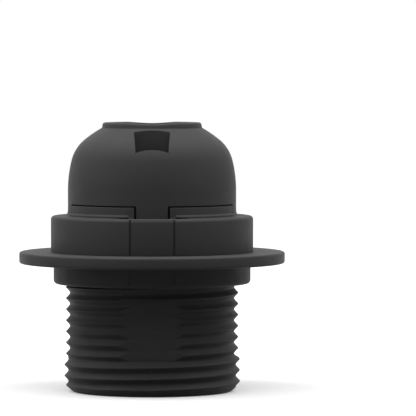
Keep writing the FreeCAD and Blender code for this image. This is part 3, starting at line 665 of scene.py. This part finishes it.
def skirt_additions():
    """Stiffeners in the collar, bosses for the fixing screws, and bars beside the latch slots."""
    parts = []
    rib_start = NECK_RADIUS - OVERLAP
    rib_end = COLLAR_RADIUS - COLLAR_WALL + OVERLAP
    for number in range(STIFFENER_COUNT):
        rib = rectangle(rib_start, rib_end, -STIFFENER_HALF, STIFFENER_HALF)
        rib = swung_plan(rib, 2 * math.pi * number / STIFFENER_COUNT)
        parts.append(prism("stiffener", rib, STIFFENER_LOW, COLLAR_ROOF + OVERLAP))
    spread = math.degrees(math.asin(BOSS_RADIUS / FIXING_OFFSET))
    boss = sector_plan(SLEEVE_BORE + LAMP_DEPTH + OVERLAP, BARREL_BORE + OVERLAP, -spread, spread)
    for plan in (boss, turned_plan(boss)):
        parts.append(prism("boss", plan, BOSS_LOW, WEB_LOW + OVERLAP))
    start = math.degrees(math.asin(BAR_START / LIP_RADIUS))
    end = math.degrees(math.asin(BAR_REACH / LIP_RADIUS))
    for low, high in ((start, end), (-end, -start)):
        bar = sector_plan(NECK_RADIUS - OVERLAP, BAR_RADIUS, low, high)
        for plan in (bar, turned_plan(bar)):
            parts.append(prism("bar", plan, COLLAR_TOP - OVERLAP, BAR_TOP))
    return parts


def slit(side, face):
    """Tapering slit in the neck beside a latch slot; side is -1 at the left, face is -1 at the front."""
    low = COLLAR_TOP - 0.01
    corners = [(BAR_REACH, low), (BAR_REACH, COLLAR_TOP + SLIT_HEIGHT), (SLIT_REACH, low)]
    reach = 3.0
    start = face * (NECK_RADIUS + reach)
    return slab("slit", [(side * x, start, z) for x, z in corners], (0, -face * (reach + SLIT_DEPTH), 0))


def skirt_cutters():
    """Slots, notches, grooves, slits, flats and holes of the skirt as closed prisms."""
    tools = []
    low_slot = rectangle(-SLOT_HALF, SLOT_HALF, -NECK_RADIUS - SLOT_CLEARANCE, -SLOT_INNER)
    high_slot = rectangle(-SLOT_HALF, SLOT_HALF, -NECK_RADIUS - 2 * BEYOND, -SLOT_INNER)
    notch_start = LEG_EDGE_ANGLE - math.degrees(NOTCH_MARGIN / NECK_RADIUS)
    notch = sector_plan(NECK_BORE - BEYOND, LIP_RADIUS + BEYOND, notch_start, 180 - notch_start)
    flat = rectangle(-COLLAR_RADIUS, COLLAR_RADIUS, -COLLAR_RADIUS, -FLAT_DISTANCE)
    hole = circle_plan(FIXING_HOLE, -FIXING_OFFSET)
    above_collar = COLLAR_TOP + 0.005
    spans = [
        (low_slot, SLOT_LOW, COLLAR_TOP + OVERLAP),
        (high_slot, above_collar, PANEL_TOP + BEYOND),
        (notch, above_collar, PANEL_TOP + BEYOND),
        (flat, FLAT_LOW, FLAT_HIGH),
        (hole, HOLE_LOW, SLEEVE_TOP + BEYOND),
    ]
    for plan, low, high in spans:
        tools.append(prism("cutter", plan, low, high))
        tools.append(prism("cutter", turned_plan(plan), low, high))
    tools += groove_cutters(COLLAR_RADIUS, GROOVE_DEPTH, RING_TOP - BEYOND, COLLAR_TOP + BEYOND)
    for side in (-1, 1):
        tools += [slit(side, -1), slit(side, 1)]
    tools.append(prism("window", rectangle(*STRIP_WINDOW), STRIP_WINDOW_LOW, SLEEVE_TOP + BEYOND))
    return tools


def groove_cutters(radius, depth, low, high):
    """Cutters of the two upright grooves at the front and at the back of a round wall."""
    wall_y = math.sqrt(radius ** 2 - GROOVE_OFFSET ** 2)
    tools = []
    for middle in (-GROOVE_OFFSET, GROOVE_OFFSET):
        left = middle - GROOVE_WIDTH / 2
        groove = rectangle(left, left + GROOVE_WIDTH, -radius - 2 * BEYOND, depth - wall_y)
        tools.append(prism("groove", groove, low, high))
        tools.append(prism("groove", turned_plan(groove), low, high))
    return tools


def press_panels(obj):
    """Sets the two latch panels between the grooves a little back in the collar's wall."""
    start = COLLAR_RADIUS - GROOVE_DEPTH
    for vertex in obj.data.vertices:
        x, y, z = vertex.co
        share = (math.hypot(x, y) - start) / (GROOVE_DEPTH - PANEL_RECESS)
        if abs(x) < GROOVE_OFFSET and z >= RING_TOP - 0.01 and share > 0:
            vertex.co.y -= math.copysign(PANEL_RECESS * min(share, 1.0), y)


def build_skirt(tree):
    """The skirt from its two threads, two turned stretches, additions and cuts."""
    upper, lower = skirt_outlines()
    outer_thread = thread_skin(
        "outer_thread", tree, BLACK,
        low=0.0, high=RING_TOP, pitch=THREAD_PITCH, rows_per_turn=18, phase=THREAD_PHASE,
        base_radius=THREAD_ROOT, depth=THREAD_DEPTH, lead_step=LEAD_STEP, lead_height=LEAD_HEIGHT,
        crest_share=0.06, root_share=0.92, sharpness=1.3, rim_radius=RIM_RADIUS, rim_slope=1.15,
        fade_low=0.2, fade_high=1.6,
    )
    lamp_thread = thread_skin(
        "lamp_thread", tree, BLACK,
        low=SLEEVE_LOW, high=SLEEVE_BORE_TOP, pitch=LAMP_PITCH, rows_per_turn=14, phase=0.4,
        base_radius=SLEEVE_BORE, depth=LAMP_DEPTH, crest_share=0.1, root_share=0.75,
        fade_low=1.4, fade_high=1.4,
    )
    strips = [outer_thread, lamp_thread, lathe_strip("skirt_upper", upper), lathe_strip("skirt_lower", lower)]
    skirt = joined("threaded_skirt_shell", strips)
    for part in skirt_additions():
        boolean(skirt, part, "UNION")
    cut_all(skirt, skirt_cutters())
    press_panels(skirt)
    return skirt


# ---- domed cap -----------------------------------------------------------------------

def cap_outlines():
    """The cap's turned outline above and below the thread of the cord entry."""
    arcs = dome_arcs(0)
    outer = [Vector((CAP_BORE, TONGUE_LOW)), Vector((CAP_RADIUS, TONGUE_LOW))]
    outer += [Vector((CAP_RADIUS, COLLAR_TOP + rise)) for rise in LEG_FLARE_STEPS]
    outer += arcs
    top = softened([
        (arcs[-1].x, arcs[-1].y, 0),
        (TOP_RIM_RADIUS, CAP_TOP, 0.6),
        (TOP_RECESS_RADIUS, CAP_TOP, 0.35),
        (TOP_RECESS_RADIUS, RECESS_FLOOR, 0.2),
        (ENTRY_BORE + ENTRY_CHAMFER, RECESS_FLOOR, 0.1),
        (ENTRY_BORE, RECESS_FLOOR - ENTRY_CHAMFER, 0),
    ])
    inner_arcs = dome_arcs(CAP_RADIUS - CAP_BORE)
    inner = softened([
        (ENTRY_BORE, ENTRY_LOW, 0),
        (ENTRY_TUBE_RADIUS, ENTRY_LOW, 0.4),
        (ENTRY_TUBE_RADIUS, inner_arcs[-1].y, 0.4),
        (inner_arcs[-1].x, inner_arcs[-1].y, 0),
    ])
    inner += inner_arcs[::-1]
    inner.append(Vector((CAP_BORE, TONGUE_LOW)))
    return outer + top, inner


def pocket_plan(margin):
    """Plan outline of the cable-grip pocket, grown by a margin."""
    inner_half = POCKET_INNER_HALF + margin
    outer_half = POCKET_OUTER_HALF + margin
    inner = -POCKET_INNER + margin
    outer = -POCKET_OUTER - margin
    return [(-outer_half, outer), (outer_half, outer), (inner_half, inner), (-inner_half, inner)]


def gap_plan():
    """Plan outline of the opening between the latch tongue and a leg."""
    outer = CAP_RADIUS + 2 * BEYOND
    inner = CAP_BORE - BEYOND
    start_outer = math.degrees(math.asin(TONGUE_HALF / outer))
    start_inner = math.degrees(math.asin(TONGUE_HALF / inner))
    return arc_plan(outer, start_outer, LEG_EDGE_ANGLE) + arc_plan(inner, LEG_EDGE_ANGLE, start_inner)


def dome_mass():
    """Solid just under the dome's outer skin, closed on the axis by a coarse weld."""
    near_axis = 0.0005
    axis_weld = 0.01
    below_skin = 0.02
    outline = [Vector((near_axis, DOME_MASS_LOW)), Vector((CAP_RADIUS - below_skin, DOME_MASS_LOW))]
    outline += dome_arcs(below_skin)
    outline += [Vector((near_axis, outline[-1].y)), outline[0]]
    mass = lathe_strip("dome_mass", outline)
    tidy(mass, axis_weld)
    return mass


def pocket_walls():
    """Walls and floor of the pocket, cut to the dome's own form."""
    walls = prism("pocket_walls", pocket_plan(POCKET_WALL), POCKET_FLOOR - POCKET_WALL, CAP_TOP)
    boolean(walls, dome_mass(), "INTERSECT")
    return walls


def tongue_parts(face):
    """Barb of a latch tongue, and the flap and rib behind the gaps beside it; face is -1 at the front."""
    barb_root = CAP_RADIUS - 0.9
    barb = [(face * barb_root, BARB_HIGH), (face * BARB_TIP, BARB_HIGH), (face * barb_root, BARB_LOW)]
    wall = CAP_BORE + OVERLAP
    flap_low = COLLAR_TOP + 0.3
    above_gap = CAP_EDGE + 0.05
    flap = [
        (BACKING_OUTER, flap_low),
        (BACKING_INNER, flap_low),
        (BACKING_INNER, BACKING_TOP),
        (wall, BACKING_TOP),
        (wall, above_gap),
        (BACKING_OUTER, above_gap),
    ]
    inset = 0.3
    rib = rectangle(BACKING_OUTER - inset, wall + 0.1, flap_low + inset, BACKING_TOP - inset)
    return [
        cross_slab("barb", BARB_HALF, barb),
        cross_slab("backing", BACKING_HALF, [(face * y, z) for y, z in flap]),
        cross_slab("rib", RIB_HALF, [(face * y, z) for y, z in rib]),
    ]


def seam_spigot():
    """Thin ring inside the cap that covers its seam with the neck from within."""
    outer = NECK_BORE - SPIGOT_CLEARANCE
    inner = outer - SPIGOT_WALL
    rooted = CAP_BORE + 0.15
    step = CAP_EDGE + 0.25
    outline = [
        (inner, SPIGOT_LOW),
        (outer, SPIGOT_LOW),
        (outer, step),
        (rooted, step),
        (rooted, SPIGOT_HIGH),
        (inner, SPIGOT_HIGH),
        (inner, SPIGOT_LOW),
    ]
    spigot = lathe_strip("spigot", outline)
    tidy(spigot)
    return spigot


def flare_legs(obj):
    """Sweeps the feet of the cap's legs outwards onto the collar."""
    span = LEG_FLARE_TOP - COLLAR_TOP
    for vertex in obj.data.vertices:
        x, y, z = vertex.co
        radius = math.hypot(x, y)
        on_leg = abs(x) > CAP_RADIUS * math.sin(math.radians(LEG_EDGE_ANGLE - 1))
        if on_leg and radius > CAP_RADIUS - 0.1 and z < LEG_FLARE_TOP:
            share = (LEG_FLARE_TOP - z) / span
            grown = 1 + LEG_FLARE * share ** 3 / radius
            vertex.co = Vector((x * grown, y * grown, z))


def dip_rim(obj):
    """Shallow dip across the top rim, from front to back."""
    for vertex in obj.data.vertices:
        x, y, z = vertex.co
        height = 1 - (CAP_TOP - z) / TOP_RIM_HEIGHT
        if height <= 0 or abs(x) >= SADDLE_HALF or math.hypot(x, y) < TOP_RECESS_RADIUS - 0.3:
            continue
        bowl = (1 - (x / SADDLE_HALF) ** 2) ** 2
        vertex.co.z -= SADDLE_DEPTH * bowl * min(height, 1.0)


def build_cap(tree):
    """The cap from its entry thread and turned stretches, its cuts, and the parts that close it inside."""
    outer, inner = cap_outlines()
    entry_thread = thread_skin(
        "entry_thread", tree, BLACK,
        low=ENTRY_LOW, high=RECESS_FLOOR - ENTRY_CHAMFER, pitch=ENTRY_PITCH, rows_per_turn=8,
        base_radius=ENTRY_BORE, depth=ENTRY_THREAD_DEPTH, crest_share=0.15, root_share=0.85,
        fade_low=0.5, fade_high=0.5,
    )
    strips = [entry_thread, lathe_strip("cap_outer", outer), lathe_strip("cap_inner", inner)]
    cap = joined("dome_cap_shell", strips)
    dip_rim(cap)
    gap = gap_plan()
    mirrored = [(-x, y) for x, y in gap][::-1]
    tools = []
    for plan in (gap, mirrored, turned_plan(gap), turned_plan(mirrored)):
        tools.append(prism("gap", plan, TONGUE_LOW - BEYOND, CAP_EDGE))
    under_start = LEG_EDGE_ANGLE - 0.5
    under = sector_plan(CAP_BORE - BEYOND, CAP_RADIUS + 2 * BEYOND, under_start, 180 - under_start)
    for plan in (under, turned_plan(under)):
        tools.append(prism("under_leg", plan, TONGUE_LOW - BEYOND - OVERLAP, COLLAR_TOP))
    cut_all(cap, tools)
    flare_legs(cap)
    for part in [pocket_walls(), seam_spigot()] + tongue_parts(-1) + tongue_parts(1):
        boolean(cap, part, "UNION")
    boolean(cap, prism("pocket", pocket_plan(0), POCKET_FLOOR, CAP_TOP + BEYOND), "DIFFERENCE")
    return cap


# ---- shade ring ----------------------------------------------------------------------

def build_ring(tree):
    """The shade ring from its thread, its turned outline and the grooves of its hub."""
    flange_low = RING_TOP - FLANGE_THICKNESS
    thread_root = RING_BORE + RING_THREAD_DEPTH
    outline = softened([
        (RING_BORE, RING_LOW, 0),
        (thread_root, RING_LOW, 0.05),
        (RING_HUB_RADIUS, RING_LOW, 0.8),
        (RING_HUB_RADIUS, flange_low, 0.3),
        (RING_RADIUS, flange_low, 0.5),
        (RING_RADIUS, RING_TOP, 0.5),
        (thread_root, RING_TOP, 0.05),
        (RING_BORE, RING_TOP, 0),
    ])
    ring_thread = thread_skin(
        "ring_thread", tree, BLACK,
        low=RING_LOW, high=RING_TOP, pitch=THREAD_PITCH, rows_per_turn=14, phase=0.3,
        base_radius=RING_BORE, depth=RING_THREAD_DEPTH, crest_share=0.3, root_share=0.8,
        fade_low=0.6, fade_high=0.6,
    )
    ring = joined("shade_ring_shell", [ring_thread, lathe_strip("ring_outer", outline)])
    cut_all(ring, groove_cutters(RING_HUB_RADIUS, RING_GROOVE_DEPTH, RING_LOW - BEYOND, flange_low))
    return ring


# ---- assembly ------------------------------------------------------------------------

def finish_piece(obj, node, body, material):
    """Gives a piece its material, shading and body, and hides the CAD node that it stands for."""
    obj.data.materials.clear()
    obj.data.materials.append(material)
    for face in obj.data.polygons:
        face.material_index = 0
    smooth(obj)
    to_metres(obj)
    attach(obj, body)
    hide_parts(node)


threads = thread_tree()
finish_piece(build_skirt(threads), "threaded_skirt", "holder", BLACK)
finish_piece(build_cap(threads), "dome_cap", "holder", BLACK)
finish_piece(build_ring(threads), "shade_ring", "ring", BLACK)

CAD_FINISHES = {
    "contact_block": INSERT,
    "front_fixing_screw": STEEL,
    "rear_fixing_screw": STEEL,
    "live_terminal_screw": STEEL,
    "neutral_terminal_screw": STEEL,
    "live_terminal": BRASS,
    "neutral_terminal": BRASS,
    "centre_contact_rivet": BRASS,
    "side_contact_rivet": BRASS,
    "centre_contact": BRONZE,
    "side_contact": BRONZE,
}
for node_name, finish in CAD_FINISHES.items():
    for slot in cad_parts[node_name].material_slots:
        slot.material = finish


# ---- stage, light and camera ---------------------------------------------------------

def seen_directly(make):
    """1 for what the camera sees, in gloss and through glass too, and 0 for light on the object."""
    path = make.put("ShaderNodeLightPath").outputs
    seen = make.calc("MAXIMUM", path["Is Camera Ray"], path["Is Glossy Ray"])
    return make.calc("MAXIMUM", seen, path["Is Transmission Ray"])


def pale_floor(name, half, height, shade, glow, reach, bounce):
    """Floor that shows shadows near the axis, turns plain white within reach and throws little light back."""
    made = mesh_object(name, [(x, y, height) for x, y in rectangle(-half, half, -half, half)], [(0, 1, 2, 3)])
    to_metres(made)
    material = bpy.data.materials.new(name)
    make = cleared_recipe(material)
    place = make.put("ShaderNodeTexCoord").outputs["Object"]
    distance = make.put("ShaderNodeVectorMath", {0: place}, operation="LENGTH").outputs["Value"]
    level = make.ramp_between(distance, reach[0] * MM, reach[1] * MM, glow, 1.0)
    paint = make.put("ShaderNodeBsdfDiffuse", {"Color": (shade, shade, shade, 1.0)})
    lift = make.put("ShaderNodeEmission", {"Color": (1.0, 1.0, 1.0, 1.0), "Strength": level})
    shown = make.put("ShaderNodeAddShader", {0: paint.outputs[0], 1: lift.outputs[0]})
    dull = make.put("ShaderNodeBsdfDiffuse", {"Color": (bounce, bounce, bounce, 1.0)})
    mixed = make.put("ShaderNodeMixShader", {0: seen_directly(make), 1: dull.outputs[0], 2: shown.outputs[0]})
    make.put("ShaderNodeOutputMaterial", {"Surface": mixed.outputs[0]})
    made.data.materials.append(material)


def area_light(name, place, target, size, power):
    """Soft rectangular lamp aimed at a point, in millimetres."""
    data = bpy.data.lights.new(name, "AREA")
    data.shape = "RECTANGLE"
    data.size = size[0] * MM
    data.size_y = size[1] * MM
    data.energy = power
    lamp = bpy.data.objects.new(name, data)
    bpy.context.scene.collection.objects.link(lamp)
    lamp.location = Vector(place) * MM
    lamp.rotation_euler = (Vector(target) - Vector(place)).to_track_quat("-Z", "Y").to_euler()


def white_world():
    """World that the camera sees as white and that throws no light on the object."""
    world = bpy.data.worlds.new("studio")
    make = cleared_recipe(world)
    glow = make.put("ShaderNodeBackground", {"Color": (1.0, 1.0, 1.0, 1.0), "Strength": seen_directly(make)})
    make.put("ShaderNodeOutputWorld", {"Surface": glow.outputs[0]})
    bpy.context.scene.world = world


def make_camera():
    """Long lens in front of the object, a little above its top, with the object left of centre."""
    distance = 875.0
    eye_height = 75.6
    aim_height = 41.3
    aim_side = 12.64
    data = bpy.data.cameras.new("camera")
    data.sensor_width = 36.0
    data.lens = 335.4
    data.clip_start = 0.05
    data.clip_end = 20.0
    camera = bpy.data.objects.new("camera", data)
    bpy.context.scene.collection.objects.link(camera)
    eye = Vector((0, -distance, eye_height))
    aim = Vector((aim_side, 0, aim_height))
    camera.location = eye * MM
    camera.rotation_euler = (aim - eye).to_track_quat("-Z", "Y").to_euler()
    bpy.context.scene.camera = camera


LAMP_AIM = (0, 0, 40)
LAMPS = [  # name, place and size in millimetres, power in watts
    ("overhead_soft", (0, 0, 520), (420, 420), 0.7),
    ("front_soft", (0, -300, 480), (400, 300), 1.0),
    ("left_high", (-240, 0, 456), (240, 240), 1.08),
    ("right_high", (240, 0, 456), (240, 240), 0.97),
    ("left_low", (-416, 0, 280), (240, 240), 0.32),
    ("right_low", (416, 0, 280), (240, 240), 0.25),
    ("left_front", (-400, -230, 170), (240, 240), 0.22),
    ("right_front", (400, -230, 170), (240, 240), 0.11),
]

pale_floor("floor", half=3000.0, height=-0.05, shade=0.8, glow=0.35, reach=(45.0, 160.0), bounce=0.1)
white_world()
for lamp_name, place, size, power in LAMPS:
    area_light(lamp_name, place, LAMP_AIM, size, power)
make_camera()
bpy.context.scene.view_settings.view_transform = "Standard"
